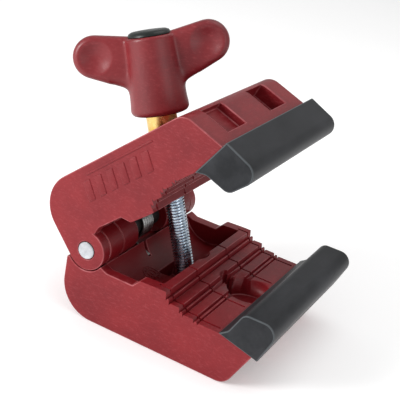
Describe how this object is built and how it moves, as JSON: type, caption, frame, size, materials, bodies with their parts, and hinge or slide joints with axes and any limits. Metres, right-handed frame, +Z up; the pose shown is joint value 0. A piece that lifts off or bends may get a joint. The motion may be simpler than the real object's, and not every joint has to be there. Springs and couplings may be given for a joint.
{
  "type": "hinged two-jaw screw clamp",
  "caption": "Hand clamp with two hinged wide jaws, rubber tip pads and a wing knob on a threaded spindle that closes the jaws against a torsion spring.",
  "frame": {"origin": "on the flat back of the lower jaw, which the clamp stands on, at mid-width and 20 mm in front of the hinge axis", "axes": "+Z up from the lower jaw's flat back, +Y along the hinge pin, +X towards the jaw tips"},
  "size_m": [0.1453, 0.0978, 0.1479],
  "materials": {
    "red_nylon": "satin, fine moulded grain",
    "red_knob": "satin, softly worn",
    "black_rubber": "matt moulded rubber",
    "bright_alloy": "turned, bright",
    "dark_plastic": "matt",
    "spring_steel": "drawn wire, lightly oiled",
    "zinc_steel": "zinc plated",
    "zinc_thread": "zinc plated, bluish",
    "brass": "turned brass",
    "black_cap": "satin"
  },
  "bodies": {
    "lower": {"lower_jaw": "red_nylon", "lower_pad": "black_rubber", "hinge_pin": "bright_alloy", "pin_end_cap": "bright_alloy", "spring_sleeve": "dark_plastic", "torsion_spring": "spring_steel"},
    "upper": {"upper_jaw": "red_nylon", "upper_pad": "black_rubber"},
    "nut": {"barrel_nut": "zinc_steel"},
    "saddle": {"saddle": "zinc_steel"},
    "feed": {"thrust_washer": "zinc_steel"},
    "knob": {"screw": "zinc_thread", "stop_ring": "spring_steel", "knob_insert": "brass", "roll_pin": "spring_steel", "knob_washer": "zinc_steel", "knob_lock_nut": "zinc_steel", "wing_knob": "red_knob", "knob_cap": "black_cap"}
  },
  "joints": [
    {"name": "jaw_hinge", "type": "hinge", "parent": "lower", "child": "upper", "pos_m": [-0.02, 0, 0.0365], "axis": [0, 1, 0], "range_deg": [0, 37.5], "deforming": ["torsion_spring"]},
    {"name": "saddle_tilt", "type": "hinge", "parent": "upper", "child": "saddle", "pos_m": [-0.01009, 0, 0.08041], "axis": [0, 1, 0], "range_deg": [-18.76, 0]},
    {"name": "nut_tilt", "type": "hinge", "parent": "lower", "child": "nut", "pos_m": [0.01675, 0, 0.0105], "axis": [0, 1, 0], "range_deg": [0, 18.76]},
    {"name": "screw_feed", "type": "slide", "parent": "nut", "child": "feed", "axis": [0.3584, 0, -0.9336], "range_m": [0, 0.02006]},
    {"name": "knob_spin", "type": "hinge", "parent": "feed", "child": "knob", "pos_m": [0.01675, 0, 0.0105], "axis": [0.3584, 0, -0.9336], "range_deg": [0, 4810]}
  ],
  "couplings": [
    {"joint": "jaw_hinge", "follows": "knob_spin", "ratio": 0.0077963},
    {"joint": "saddle_tilt", "follows": "knob_spin", "ratio": -0.0038981},
    {"joint": "nut_tilt", "follows": "knob_spin", "ratio": 0.0038981},
    {"joint": "screw_feed", "follows": "knob_spin", "m_per_rad": 0.00023873}
  ]
}
